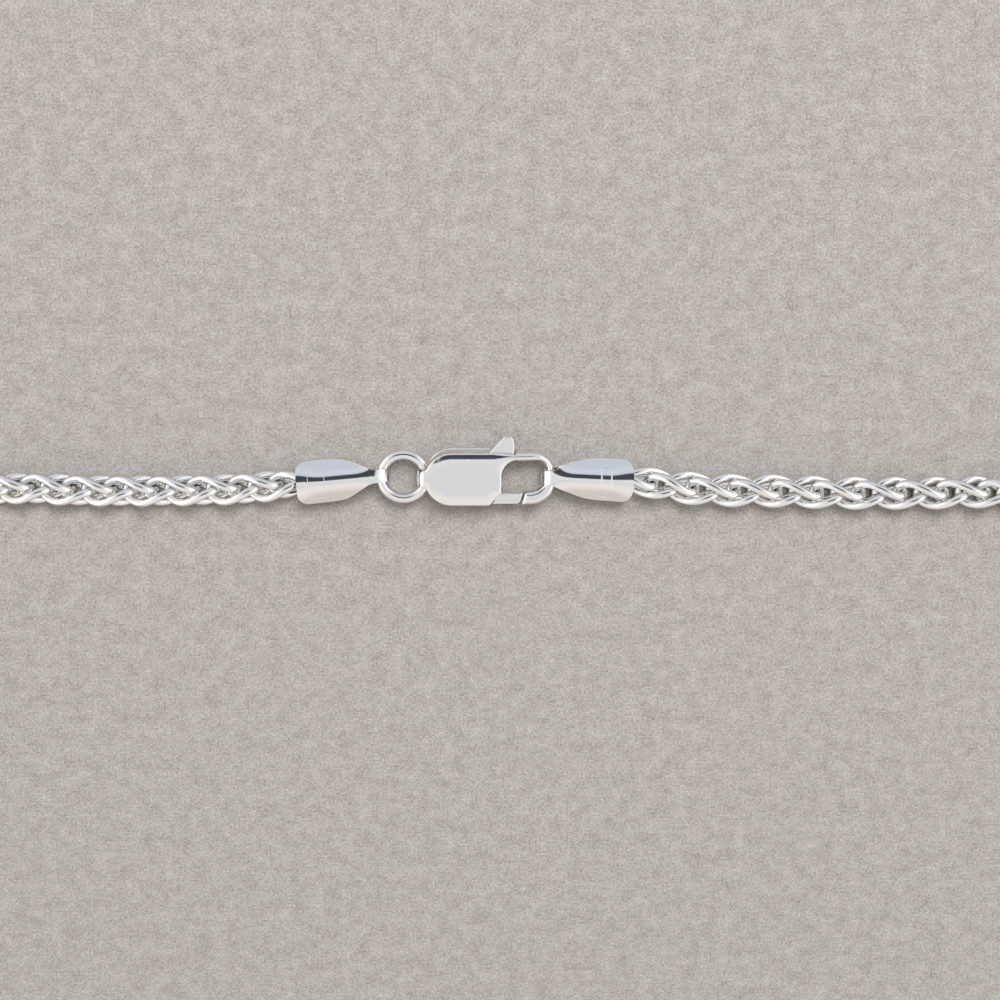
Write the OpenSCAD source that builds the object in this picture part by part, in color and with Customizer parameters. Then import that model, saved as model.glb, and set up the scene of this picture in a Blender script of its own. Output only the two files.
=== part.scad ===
/* [Chain] */
// Width over the wheat chain
chain_d = 3.1; // [2.4:0.1:4]
// Depth of each chain end inside its cap
chain_in = 3; // [2:0.5:4]

/* [End caps] */
// Length of an end cap, from fold to mouth
cap_l = 8.6; // [7.5:0.1:12]
// Thickness of the sheet the caps are folded from
cap_wall = 0.2; // [0.15:0.05:0.3]
// Space between the chain and the inside of a cap
cap_gap = 0.2; // [0.1:0.05:0.4]
// Width of the folded strip at the tip of a cap
strip_w = 1.3; // [1:0.1:1.4]
// Height over the fold, seen from the side
strip_h = 2.9; // [2.7:0.1:3.5]
// Turn of the left cap on the surface, degrees
left_turn = 5.5; // [0:0.5:8]
// Turn of the right cap on the surface, degrees
right_turn = 2.8; // [0:0.2:5]

/* [Jump ring] */
// Outside diameter of the jump ring
ring_d = 5; // [4.8:0.1:6.5]
// Width of the ring's wire, seen from above
ring_w = 0.78; // [0.6:0.02:0.82]
// Height of the ring's wire
ring_h = 1.14; // [0.7:0.02:1.2]

/* [Clasp] */
// Length of the clasp, from tail fold to nose
clasp_l = 12.9; // [12:0.1:15]
// Width over the clasp's plates
clasp_w = 5; // [4.8:0.1:5.6]
// Thickness over both plates
clasp_t = 2.9; // [2.7:0.1:3.2]
// Thickness of each plate
plate_t = 0.45; // [0.35:0.05:0.55]
// Thickness of the hook at the nose
nose_t = 1.6; // [1.2:0.1:1.8]
// Width of the hook's bar, seen from above
bar_w = 0.9; // [0.7:0.05:1]
// Length of the window inside the hook
window_l = 4.1; // [3.6:0.1:4.3]
// Width of the fold at the tail
tail_w = 1.56; // [1.2:0.04:1.8]
// Thickness of the metal at the tail fold
tail_t = 0.3; // [0.25:0.05:0.45]

/* [Lever] */
// Width of the gate that closes the hook
gate_w = 1.3; // [0.9:0.05:1.3]
// Length of gate that stands free of the plates
gate_l = 1.85; // [1.6:0.05:2]
// Rise of the thumb tab over the plates
tab_rise = 1.55; // [0.6:0.05:2]
// Length of the thumb tab at its root
tab_l = 2.3; // [1.8:0.1:2.6]
// Diameter of the rivet the lever turns on
pin_d = 0.9; // [0.7:0.05:1]
// Distance from the window back to the rivet
pin_back = 2.6; // [2.4:0.1:2.7]

/* [Fits] */
// Gap between pieces that hang on each other
hang_gap = 0.05; // [0.03:0.01:0.08]
// Space on each side of the lever between the plates
side_play = 0.07; // [0.04:0.01:0.1]
// Gap between the rivet and the lever's bore
turn_gap = 0.04; // [0.02:0.01:0.06]
// Gap between the rivet and the plates' bores
rivet_gap = 0.02; // [0.01:0.005:0.03]
// Slit between the gate and the tip of the hook
slit = 0.12; // [0.08:0.01:0.2]

/* [Hidden] */
$fn = 96;
far = 40; // longer than any piece of the clasp, for cuts that run right through

// The whole loop lies flat, with the clasp in the middle of its far side.
line_y = 76;                                   // the line on which clasp, ring and caps lie
cap_r = chain_d / 2 + cap_gap + cap_wall;
line_z = max(cap_r, clasp_t / 2, strip_h / 2); // height of that line above the surface

// Chosen points of the chain's centre line, from the left cap round to the right one:
// x, y and how far the chain is still lifted by its cap.
CHAIN_ROUTE = [
  [-23, 74.8, 0.1], [-30, 74.6, 0], [-37, 74.6, 0], [-44, 74.8, 0], [-51, 74, 0],
  [-57.5, 70.8, 0], [-64, 64, 0], [-68.7, 54, 0], [-71, 41, 0], [-71.5, 27, 0],
  [-71.3, 12, 0], [-69.5, -4, 0], [-66, -20, 0], [-60, -36, 0], [-51, -51, 0],
  [-38.5, -65, 0], [-22, -75.3, 0], [0, -80, 0], [22, -75.8, 0], [38.5, -65.5, 0],
  [51, -52, 0], [60.5, -37, 0], [66.5, -21, 0], [70, -5, 0], [71.5, 11, 0],
  [71.8, 26, 0], [71, 40, 0], [69, 52, 0], [65, 62, 0], [59.5, 69.3, 0],
  [53.5, 73.2, 0], [47.5, 74.4, 0], [41, 74.4, 0], [34, 74.4, 0], [27, 74.6, 0],
  [20, 74.8, 0.1]];
ring_step = 8;    // distance between the tube's rings
tube_sides = 12;

// Where the pieces of the clasp lie, measured from the outside of its tail fold.
half_w = clasp_w / 2;
off_middle = 0.1;                             // how far the clasp lies left of the middle
tail_x = -clasp_l / 2 - off_middle;
slot_t = clasp_t - 2 * plate_t;
lever_t = slot_t - 2 * side_play;
tail_l = 0.6;                                 // from the tail fold to the round shoulders
shoulder_x = half_w + tail_l;                 // centre of the round shoulders
window_x1 = clasp_l - bar_w;
window_x0 = window_x1 - window_l;
window_y1 = half_w - bar_w;
window_y0 = -(half_w - gate_w);
nose_flat = 0.3;                              // half the straight front of the nose
nose_r = half_w - nose_flat;
web = 0.45;                                   // wall that closes the body's near edge
pin_x = window_x0 - pin_back;
pin_y = -half_w * 0.4;
gate_x = window_x0 + gate_l;                  // middle of the gate's end
slit_lean = 15;                               // lean of the slit, degrees
past_window = 1.27;                           // how far the far edge stays open past x0
plate_slant = 1.1;                            // slant of the plates' end beside the gate
slot_x1 = window_x0 + past_window;
hub_wall = 0.45;                              // metal round the lever's bore
hub_r = pin_d / 2 + hub_wall;

// How far off a ring's centre a straight fold of a given width can lie inside the ring.
function seat(width) = sqrt(pow(ring_d / 2 - ring_w - hang_gap, 2) - pow(width / 2, 2));

ring_x = tail_x + tail_t - seat(tail_w);
left_tip = [ring_x - seat(strip_w + 0.5) + cap_wall, line_y + 0.2];
right_tip = [tail_x + window_x1 - hang_gap - strip_w / 2 * sin(right_turn) - cap_wall,
             line_y + 0.1];

// Side view of a tube-like piece that ends in a fold: a rounded end at x = 0.
module fold_side(length, height, bend) {
  for (s = [-1, 1]) translate([bend, s * (height / 2 - bend)]) circle(bend);
  translate([0, bend - height / 2]) square([length, height - 2 * bend]);
  translate([bend, -height / 2]) square([length - bend, height]);
}

// Lays a drawing of x and height upright and gives it a width along y.
module upright(width) {
  translate([0, width / 2, 0]) rotate([90, 0, 0]) linear_extrude(width) children();
}

// Half width of a cap in plan and radius of its section: share of length, share of radius.
CAP_PLAN = [[0, 0], [0.18, 0.02], [0.25, 0.18], [0.365, 0.5], [0.52, 0.79], [0.62, 0.95],
            [0.7, 1.05]];
CAP_MOUTH = [[0.87, 1.05], [0.93, 0.93], [0.97, 0.78], [0.99, 0.6], [1, 0.42]];
CAP_ROUND = [[0.15, 0], [0.3, 0.45], [0.45, 0.85], [0.58, 1]];

// From the strip's half width at the tip to the cap's radius further on.
function plan_points() = concat(
  [for (p = CAP_PLAN) [p[0] * cap_l, strip_w / 2 + p[1] * (cap_r - strip_w / 2)]],
  [for (p = CAP_MOUTH) [p[0] * cap_l, p[1] * cap_r]]);

function mirrored(points) = concat([for (p = points) [p[0], -p[1]]],
  [for (i = [len(points) - 1:-1:0]) points[i]]);

module cap_turned(inset) {
  tip_r = strip_h / 2;
  rows = [for (p = CAP_ROUND) [tip_r + p[1] * (cap_r - tip_r) - inset, p[0] * cap_l]];
  rotate([0, 90, 0]) rotate_extrude()
    polygon(concat([[0, rows[0][1]]], rows,
                   [[cap_r - inset, cap_l + inset], [0, cap_l + inset]]));
}

// One end cap: tip at the origin, mouth towards +x.
module end_cap() {
  bend = 0.7;
  fold_l = CAP_ROUND[0][0] * cap_l + 0.3;
  difference() {
    intersection() {
      union() {
        cap_turned(0);
        upright(2 * cap_r) fold_side(fold_l, strip_h, bend);
      }
      translate([0, 0, -far / 2]) linear_extrude(far) polygon(mirrored(plan_points()));
    }
    cap_turned(cap_wall);
    translate([cap_wall, 0, 0])
      upright(far) fold_side(fold_l, strip_h - 2 * cap_wall, bend - cap_wall);
  }
}

module place_left() {
  translate([left_tip[0], left_tip[1], line_z]) rotate([0, 0, 180 + left_turn]) children();
}

module place_right() {
  translate([right_tip[0], right_tip[1], line_z]) rotate([0, 0, -right_turn]) children();
}

module end_cap_left() {
  color("silver") place_left() end_cap();
}

module end_cap_right() {
  color("silver") place_right() end_cap();
}

// The ring's wire is squarish with rounded corners.
module jump_ring() {
  soft = 0.25;
  mid_r = (ring_d - ring_w) / 2;
  color("silver") translate([ring_x, line_y + 0.05, line_z]) rotate_extrude() {
    for (x = [-1, 1], y = [-1, 1])
      translate([mid_r + x * (ring_w / 2 - soft), y * (ring_h / 2 - soft)]) circle(soft);
    translate([mid_r - ring_w / 2, soft - ring_h / 2]) square([ring_w, ring_h - 2 * soft]);
    translate([mid_r - ring_w / 2 + soft, -ring_h / 2]) square([ring_w - 2 * soft, ring_h]);
  }
}

// The clasp's outline with no opening in it: tail, round shoulders, body and nose.
module clasp_outline() {
  lap = 0.5;
  translate([0, -tail_w / 2]) square([shoulder_x + lap, tail_w]);
  translate([shoulder_x, 0]) circle(half_w);
  translate([shoulder_x, -half_w]) square([clasp_l - nose_r - shoulder_x, clasp_w]);
  for (s = [-1, 1]) translate([clasp_l - nose_r, s * nose_flat]) circle(nose_r);
  translate([clasp_l - nose_r - lap, -nose_flat]) square([nose_r + lap, 2 * nose_flat]);
}

// The clasp from the side: folded tail, even body, hook thinning to the nose.
module clasp_side() {
  fold_side(window_x0, clasp_t, 1.05);
  polygon([[window_x0 - 1, -clasp_t / 2], [window_x0, -clasp_t / 2],
           [window_x1, -nose_t / 2], [clasp_l + 1, -nose_t / 2],
           [clasp_l + 1, nose_t / 2], [window_x1, nose_t / 2],
           [window_x0, clasp_t / 2], [window_x0 - 1, clasp_t / 2]]);
}

module window_outline() {
  corner = 0.75;
  small = 0.4;
  for (y = [window_y0 + corner, window_y1 - corner])
    translate([window_x1 - corner, y]) circle(corner);
  for (y = [window_y0 + small, window_y1 - small])
    translate([window_x0 + small, y]) circle(small);
  translate([window_x0, window_y0 + small])
    square([window_l / 2, window_y1 - window_y0 - 2 * small]);
  translate([window_x0 + small, window_y0])
    square([window_l - small - corner, window_y1 - window_y0]);
  translate([window_x1 - corner - 0.1, window_y0 + corner])
    square([corner + 0.1, window_y1 - window_y0 - 2 * corner]);
}

// Everything to one side of the leaning slit; shift moves the line along x.
module gate_side(shift) {
  translate([gate_x + shift, (window_y0 - half_w) / 2]) rotate(-slit_lean)
    translate([-far, -far / 2]) square([far, far]);
}

// The gap in the hook that the gate fills, between the plates' slanted end and the slit.
module gate_gap() {
  intersection() {
    polygon([[window_x0 - plate_slant, -far], [clasp_l, -far],
             [clasp_l, window_y0 + web], [window_x0, window_y0 + web],
             [window_x0, window_y0], [window_x0 - plate_slant, -half_w]]);
    gate_side(slit);
  }
}

// The hollow between the plates: open at the far edge and round the jump ring.
module slot_plan() {
  inner = half_w - web;
  ring_room = ring_d / 2 + ring_x - tail_x + 0.3;
  translate([tail_t, -far / 2]) square([ring_room - tail_t, far]);
  translate([shoulder_x, 0]) circle(inner);
  translate([shoulder_x, -inner]) square([window_x0 + 0.1 - shoulder_x, 2 * inner]);
  translate([ring_room - 0.1, 0]) square([slot_x1 - ring_room + 0.1, far]);
  translate([window_x0 - 0.8, -half_w - 1]) square([0.9, half_w]);
}

module clasp_body() {
  color("silver") translate([tail_x, line_y, line_z]) difference() {
    intersection() {
      translate([0, 0, -clasp_t / 2]) linear_extrude(clasp_t) clasp_outline();
      upright(far) clasp_side();
    }
    translate([0, 0, -far / 2]) linear_extrude(far) window_outline();
    translate([0, 0, -far / 2]) linear_extrude(far) gate_gap();
    translate([0, 0, -slot_t / 2]) linear_extrude(slot_t) slot_plan();
    translate([pin_x, pin_y, -far / 2]) cylinder(far, d = pin_d + 2 * rivet_gap);
  }
}

// The lever's outline: thumb tab, arm between the plates, hub and gate.
module lever_outline() {
  tab_x1 = slot_x1 - side_play;
  tab_x0 = tab_x1 - tab_l;
  tab_round = 0.45;
  arm_back = pin_x - hub_r;                   // the arm runs straight up from the hub
  top = half_w + tab_rise;
  inside = window_x0 - 0.15;
  gate_top = window_y0 - 0.08;
  gate_foot = -half_w + 0.12;
  lap = 0.2;
  translate([pin_x, pin_y]) circle(hub_r);
  translate([tab_x1 - tab_round, top - tab_round]) circle(tab_round);
  polygon([[pin_x + hub_r, pin_y], [pin_x + hub_r, gate_top], [inside, gate_top],
           [inside, window_y1 - 0.1], [tab_x1, window_y1 + 0.2],
           [tab_x1, top - tab_round], [tab_x1 - tab_round, top - tab_round],
           [tab_x1 - tab_round, top], [tab_x1 - tab_round - 0.5, top - 0.08],
           [tab_x0, half_w - 0.05], [arm_back - 0.2, half_w - 0.3],
           [arm_back - 0.4, half_w - 0.6], [arm_back, pin_y]]);
  intersection() {
    union() {
      translate([pin_x, -half_w + web + side_play])
        square([inside - pin_x, gate_top + lap + half_w - web - side_play]);
      translate([inside - 0.55, gate_foot]) square([far, gate_top - gate_foot]);
    }
    gate_side(0);
  }
}

module trigger_lever() {
  color("lightgray") translate([tail_x, line_y, line_z - lever_t / 2]) difference() {
    linear_extrude(lever_t) lever_outline();
    translate([pin_x, pin_y, -far / 2]) cylinder(far, d = pin_d + 2 * turn_gap);
  }
}

module pivot_pin() {
  color("gainsboro") translate([tail_x + pin_x, line_y + pin_y, line_z - clasp_t / 2])
    cylinder(clasp_t, d = pin_d);
}

// A point on a cap's axis, at a depth measured from the cap's tip, with z = lift.
function left_axis(depth) =
  [left_tip[0] - depth * cos(left_turn), left_tip[1] - depth * sin(left_turn),
   line_z - chain_d / 2];
function right_axis(depth) =
  [right_tip[0] + depth * cos(right_turn), right_tip[1] - depth * sin(right_turn),
   line_z - chain_d / 2];

route = [for (p = concat([left_axis(cap_l - chain_in), left_axis(cap_l)], CHAIN_ROUTE,
                         [right_axis(cap_l), right_axis(cap_l - chain_in)]))
         [p[0], p[1], p[2] + chain_d / 2]];
low_y = min([for (p = route) p[1]]);
// The chain's two halves meet at the lowest point of the route.
middle = [for (i = [0:len(route) - 1]) if (route[i][1] == low_y) i][0];

// A smooth curve through the route's points.
function end_or(i) = i < 0 ? 2 * route[0] - route[1]
  : i > len(route) - 1 ? 2 * route[len(route) - 1] - route[len(route) - 2]
  : route[i];
function curve(i, t) = let (a = end_or(i - 1), b = route[i], c = end_or(i + 1), d = end_or(i + 2))
  0.5 * (2 * b + (c - a) * t + (2 * a - 5 * b + 4 * c - d) * t * t
         + (3 * b - a - 3 * c + d) * t * t * t);
function slope(i, t) = curve(i, t + 0.01) - curve(i, t - 0.01);
function unit(v) = v / norm(v);

function tube_ring(place, along) =
  let (side = unit(cross([0, 0, 1], along)), up = cross(unit(along), side))
  [for (k = [0:tube_sides - 1])
    place + chain_d / 2 * (cos(360 * k / tube_sides) * side + sin(360 * k / tube_sides) * up)];

// A tube through the route's points from one index to another.
module tube(first, last) {
  steps = [for (i = [first:last - 1]) max(1, round(norm(route[i + 1] - route[i]) / ring_step))];
  rings = concat(
    [for (i = [first:last - 1], k = [0:steps[i - first] - 1])
      tube_ring(curve(i, k / steps[i - first]), slope(i, k / steps[i - first]))],
    [tube_ring(route[last], slope(last, 0))]);
  n = tube_sides;
  points = [for (r = rings) each r];
  sides = [for (r = [0:len(rings) - 2], k = [0:n - 1])
    [r * n + k, r * n + (k + 1) % n, (r + 1) * n + (k + 1) % n, (r + 1) * n + k]];
  polyhedron(points, concat([[for (k = [n - 1:-1:0]) k]], sides,
    [[for (k = [0:n - 1]) (len(rings) - 1) * n + k]]));
}

module chain_left() {
  color("whitesmoke") tube(0, middle);
}

module chain_right() {
  color("whitesmoke") tube(middle, len(route) - 1);
}

clasp_body();
trigger_lever();
pivot_pin();
jump_ring();
end_cap_left();
end_cap_right();
chain_left();
chain_right();
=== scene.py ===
import math
import bpy
import numpy as np
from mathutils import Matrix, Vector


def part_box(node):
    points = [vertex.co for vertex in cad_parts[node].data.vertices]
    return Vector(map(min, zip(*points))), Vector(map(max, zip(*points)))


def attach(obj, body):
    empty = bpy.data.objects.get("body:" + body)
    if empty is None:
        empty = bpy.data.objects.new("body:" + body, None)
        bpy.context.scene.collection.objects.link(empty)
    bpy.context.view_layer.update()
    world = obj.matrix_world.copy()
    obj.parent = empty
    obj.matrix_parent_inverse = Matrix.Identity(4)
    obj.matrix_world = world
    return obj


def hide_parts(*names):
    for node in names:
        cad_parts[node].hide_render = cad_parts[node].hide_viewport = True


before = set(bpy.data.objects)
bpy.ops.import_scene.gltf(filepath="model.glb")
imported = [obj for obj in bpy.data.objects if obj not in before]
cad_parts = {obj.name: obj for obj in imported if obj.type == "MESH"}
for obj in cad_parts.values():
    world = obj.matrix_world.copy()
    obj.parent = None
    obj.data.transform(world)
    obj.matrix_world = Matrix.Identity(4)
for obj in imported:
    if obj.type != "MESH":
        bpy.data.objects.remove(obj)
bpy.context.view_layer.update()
print("frame loaded")

mm = 0.001
viewLean = 13.5          # degrees, how far the photo's view leans from straight above
bpy.context.scene.view_settings.view_transform = "Standard"

# The pieces are worked out in millimetres, each in its own place, and then moved to its node.
claspLow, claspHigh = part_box("clasp_body")
lineY = (claspLow.y + claspHigh.y) / 2 / mm      # the line on which clasp, ring and caps lie
lineZ = (claspLow.z + claspHigh.z) / 2 / mm
tailX = claspLow.x / mm
halfThick = (claspHigh.z - claspLow.z) / 2 / mm
ringLow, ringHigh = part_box("jump_ring")


# Helpers for meshes

def addMesh(name, points, faces, spot=(0, 0, 0), turn=0, sharp=None, flat=None):
    # points in mm, faces an array of quads; turned in degrees about z, then moved to its spot
    points = np.asarray(points, float)
    faces = np.asarray(faces, np.int32)
    a, b, c, d = (points[faces[:, i]] for i in range(4))
    if (np.cross(c - a, d - b) * (a + c)).sum() < 0:      # faces look inwards
        faces = faces[:, ::-1]
    cosTurn, sinTurn = math.cos(math.radians(turn)), math.sin(math.radians(turn))
    points = points @ np.array([[cosTurn, sinTurn, 0], [-sinTurn, cosTurn, 0], [0, 0, 1]]) + np.array(spot)
    mesh = bpy.data.meshes.new(name)
    mesh.vertices.add(len(points))
    mesh.vertices.foreach_set("co", (points * mm).astype(np.float32).ravel())
    mesh.loops.add(faces.size)
    mesh.loops.foreach_set("vertex_index", faces.ravel())
    mesh.polygons.add(len(faces))
    mesh.polygons.foreach_set("loop_start", np.arange(0, faces.size, 4, dtype=np.int32))
    mesh.update(calc_edges=True)
    if flat is not None:                                  # the piece's own x and y in mm
        layer = mesh.uv_layers.new(name="flat")
        layer.data.foreach_set("uv", flat[faces.ravel()].astype(np.float32).ravel())
    mesh.shade_smooth()
    if sharp:
        mesh.set_sharp_from_angle(angle=math.radians(sharp))
    piece = bpy.data.objects.new(name, mesh)
    bpy.context.scene.collection.objects.link(piece)
    return piece


def gridFaces(rows, columns, closedRows=False, closedColumns=False):
    r = np.arange(rows if closedRows else rows - 1)
    c = np.arange(columns if closedColumns else columns - 1)
    r, c = np.meshgrid(r, c, indexing="ij")
    nextR, nextC = (r + 1) % rows, (c + 1) % columns
    return np.stack([r * columns + c, r * columns + nextC,
                     nextR * columns + nextC, nextR * columns + c], -1).reshape(-1, 4)


def unit(v):
    return v / np.linalg.norm(v, axis=-1, keepdims=True)


def smoothStep(x, low, high):
    t = np.clip((x - low) / (high - low), 0, 1)
    return t * t * (3 - 2 * t)


def fuller(wave, fullness):
    # a sine or cosine reshaped for an oval that is fuller than an ellipse; 2 leaves it as it is
    return np.sign(wave) * np.abs(wave) ** (2 / fullness)


# Outlines and solids as distances, for the clasp and its lever

def arc(x, y, radius, a0, a1, steps=24):
    a = np.radians(np.linspace(a0, a1, steps + 1))
    return np.stack([x + radius * np.cos(a), y + radius * np.sin(a)], -1)


def roundedOutline(corners, steps=8):
    # corners are (x, y, radius), counter-clockwise; each becomes an arc
    points = []
    for i, (x, y, radius) in enumerate(corners):
        here = np.array([x, y])
        back = unit(np.array(corners[i - 1][:2]) - here)
        ahead = unit(np.array(corners[(i + 1) % len(corners)][:2]) - here)
        if radius == 0:
            points.append(here)
            continue
        halfAngle = math.acos(np.clip(back @ ahead, -1, 1)) / 2
        start, end = (here + side * radius / math.tan(halfAngle) for side in (back, ahead))
        middle = here + unit(back + ahead) * radius / math.sin(halfAngle)
        a0 = math.atan2(*(start - middle)[::-1])
        a1 = math.atan2(*(end - middle)[::-1])
        sweep = (a1 - a0 + math.pi) % (2 * math.pi) - math.pi
        for k in range(steps + 1):
            a = a0 + sweep * k / steps
            points.append(middle + radius * np.array([math.cos(a), math.sin(a)]))
    return np.array(points)


def distanceMap(outline, low, high, step=0.04):
    # signed distance to a closed outline, below 0 inside it, read from a fine grid
    xs = np.arange(low[0], high[0] + step, step)
    ys = np.arange(low[1], high[1] + step, step)
    px, py = np.meshgrid(xs, ys, indexing="ij")
    best = np.full(px.shape, 1e9)
    inside = np.zeros(px.shape, bool)
    for a, b in zip(outline, np.roll(outline, -1, 0)):
        ex, ey = b - a
        wx, wy = px - a[0], py - a[1]
        t = np.clip((wx * ex + wy * ey) / max(ex * ex + ey * ey, 1e-12), 0, 1)
        best = np.minimum(best, (wx - t * ex) ** 2 + (wy - t * ey) ** 2)
        crosses = (a[1] > py) != (b[1] > py)
        if ey != 0:
            inside ^= crosses & (px < a[0] + (py - a[1]) / ey * ex)
    values = np.sqrt(best) * np.where(inside, -1, 1)

    def read(x, y):
        u = np.clip((x - xs[0]) / step, 0, len(xs) - 1.001)
        v = np.clip((y - ys[0]) / step, 0, len(ys) - 1.001)
        i, j = u.astype(int), v.astype(int)
        u, v = u - i, v - j
        return ((values[i, j] * (1 - u) + values[i + 1, j] * u) * (1 - v)
                + (values[i, j + 1] * (1 - u) + values[i + 1, j + 1] * u) * v)
    return read


def roundedMeet(a, b, radius):
    # what two solids share, with the edge between them rounded
    a, b = a + radius, b + radius
    return np.hypot(np.maximum(a, 0), np.maximum(b, 0)) + np.minimum(np.maximum(a, b), 0) - radius


def softJoin(a, b, radius):
    h = np.maximum(radius - np.abs(a - b), 0) / radius
    return np.minimum(a, b) - h * h * radius / 4


def surfaceNet(field, low, high, step):
    # a quad mesh on the zero surface of a distance field; each point is moved onto the surface
    # in a few rounds, and stays close to its own cell
    axes = [np.arange(low[i], high[i] + step, step) for i in range(3)]
    corners = np.stack(np.meshgrid(*axes, indexing="ij"), -1)
    inside = field(corners) < 0
    size = np.array(inside.shape) - 1
    count = sum(inside[i:i + size[0], j:j + size[1], k:k + size[2]].astype(np.int8)
                for i in (0, 1) for j in (0, 1) for k in (0, 1))
    active = (count > 0) & (count < 8)
    number = np.full(active.shape, -1, np.int32)
    number[active] = np.arange(active.sum())
    cells = np.argwhere(active)
    centre = np.array([a[0] for a in axes]) + (cells + 0.5) * step
    points = centre.copy()
    tiny, stray, rounds = step * 0.2, step * 0.8, 6
    for _ in range(rounds):
        slope = np.stack([(field(points + tiny * e) - field(points - tiny * e)) / (2 * tiny)
                          for e in np.eye(3)], -1)
        length = np.maximum((slope ** 2).sum(-1, keepdims=True), 0.2)
        points -= np.clip(field(points)[:, None] * slope / length, -step / 2, step / 2)
        points = np.clip(points, centre - stray, centre + stray)
    faces = []
    for axis in range(3):
        b, c = (axis + 1) % 3, (axis + 2) % 3
        ahead = np.roll(inside, -1, axis)
        change = inside != ahead
        keep = [slice(1, -1)] * 3
        keep[axis] = slice(0, -1)
        found = np.argwhere(change[tuple(keep)])
        found[:, b] += 1
        found[:, c] += 1
        quad = []
        for db, dc in ((0, 0), (-1, 0), (-1, -1), (0, -1)):
            at = found.copy()
            at[:, b] += db
            at[:, c] += dc
            quad.append(number[tuple(at.T)])
        quad = np.stack(quad, -1)
        outward = inside[tuple(found.T)]
        faces.append(np.where(outward[:, None], quad, quad[:, ::-1]))
    faces = np.concatenate(faces)
    return points, faces[(faces >= 0).all(1)]


# Helpers for materials

def linear(hexColour):
    parts = [int(hexColour[i:i + 2], 16) / 255 for i in (1, 3, 5)]
    return [p / 12.92 if p <= 0.04045 else ((p + 0.055) / 1.055) ** 2.4 for p in parts] + [1]


def addNode(tree, kind, settings=None, **inputs):
    # one node; an input is a number, a colour or another node's output, named as its socket
    node = tree.nodes.new("ShaderNode" + kind)
    for name, value in (settings or {}).items():
        setattr(node, name, value)
    for name, value in inputs.items():
        name = name.replace("_", " ")
        socket = node.inputs[int(name[1:])] if name[1:].isdigit() else node.inputs[name]
        if isinstance(value, bpy.types.NodeSocket):
            tree.links.new(value, socket)
        else:
            socket.default_value = value
    return node


def newMaterial(name):
    material = bpy.data.materials.new(name)
    material.use_nodes = True
    return material, material.node_tree, material.node_tree.nodes["Principled BSDF"]


# Sterling silver, cast, rolled or drawn, then tumbled and buffed. Near-white metal whose tone
# comes from what it mirrors; fine wear softens the mirror a little, and a slow swell bends it.
# Depths and scales are in mm.
def silver(name, colour, roughness, wear, wearScale, waves=0.0, waveScale=0.4, mark=None):
    material, tree, shader = newMaterial(name)
    spot = addNode(tree, "TexCoord").outputs["Object"]
    shader.inputs["Metallic"].default_value = 1
    shader.inputs["Base Color"].default_value = linear(colour)
    grain = addNode(tree, "TexNoise", Vector=spot, Scale=1000 / wearScale, Detail=3.0)
    spread = addNode(tree, "MapRange", Value=grain.outputs["Fac"], From_Min=0.3, From_Max=0.7,
                     To_Min=roughness * 0.8, To_Max=roughness * 1.3)
    tree.links.new(spread.outputs["Result"], shader.inputs["Roughness"])
    swell = addNode(tree, "TexNoise", Vector=spot, Scale=1000 / waveScale, Detail=1.0)
    uneven = addNode(tree, "Bump", Height=swell.outputs["Fac"], Strength=1.0, Distance=waves * mm)
    if mark:             # a line pressed into the sheet round a bare field with round corners
        at = addNode(tree, "UVMap", {"uv_map": "flat"}).outputs["UV"]
        corner = mark["corner"]
        for operation, vector in (("SUBTRACT", (*mark["middle"], 0)), ("ABSOLUTE", (0, 0, 0)),
                                  ("SUBTRACT", (mark["halfX"] - corner, mark["halfY"] - corner, 0)),
                                  ("MAXIMUM", (0, 0, 0))):
            at = addNode(tree, "VectorMath", {"operation": operation}, i0=at, i1=vector).outputs[0]
        far = addNode(tree, "VectorMath", {"operation": "LENGTH"}, i0=at).outputs["Value"]
        away = addNode(tree, "Math", {"operation": "SUBTRACT"}, i0=far, i1=corner).outputs[0]
        away = addNode(tree, "Math", {"operation": "ABSOLUTE"}, i0=away).outputs[0]
        pressed = addNode(tree, "MapRange", {"interpolation_type": "SMOOTHSTEP"}, Value=away,
                          From_Min=0.0, From_Max=mark["line"], To_Min=0.0, To_Max=1.0)
        uneven = addNode(tree, "Bump", Height=pressed.outputs["Result"], Strength=1.0,
                         Distance=mark["depth"] * mm, Normal=uneven.outputs["Normal"])
    fine = addNode(tree, "Bump", Height=grain.outputs["Fac"], Strength=1.0, Distance=wear * mm,
                   Normal=uneven.outputs["Normal"])
    tree.links.new(fine.outputs["Normal"], shader.inputs["Normal"])
    return material


# castings, tumbled and buffed: a clear mirror that swells slowly
castSilver = silver("castSilver", "#F6F5F3", roughness=0.1, wear=0.0006, wearScale=0.16,
                    waves=0.004, waveScale=1.8)
# left as cast and pickled inside the clasp: a soft matte white
frostedSilver = silver("frostedSilver", "#F6F1E8", roughness=0.8, wear=0.003, wearScale=0.12)
# the gate's sides, cast and only tumbled: fine pits that glint
pittedSilver = silver("pittedSilver", "#F2F2F2", roughness=0.26, wear=0.006, wearScale=0.18,
                      waves=0.004, waveScale=0.9)
# rolled sheet, curled and buffed: the clearest mirror
sheetFinish = {"roughness": 0.09, "wear": 0.0005, "wearScale": 0.14, "waves": 0.004, "waveScale": 1.2}
# the fields' middles are given along the cap and across it, all in mm
fieldLeft = {"middle": (6.79, 0), "halfX": 0.76, "halfY": 1.35, "corner": 0.22, "line": 0.09,
             "depth": 0.012}
fieldRight = {"middle": (6.08, -0.08), "halfX": 0.46, "halfY": 1.4, "corner": 0.2, "line": 0.09,
              "depth": 0.022}
sheetSilverLeft = silver("sheetSilverLeft", "#F6F5F3", mark=fieldLeft, **sheetFinish)
sheetSilverRight = silver("sheetSilverRight", "#F6F5F3", mark=fieldRight, **sheetFinish)
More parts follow.
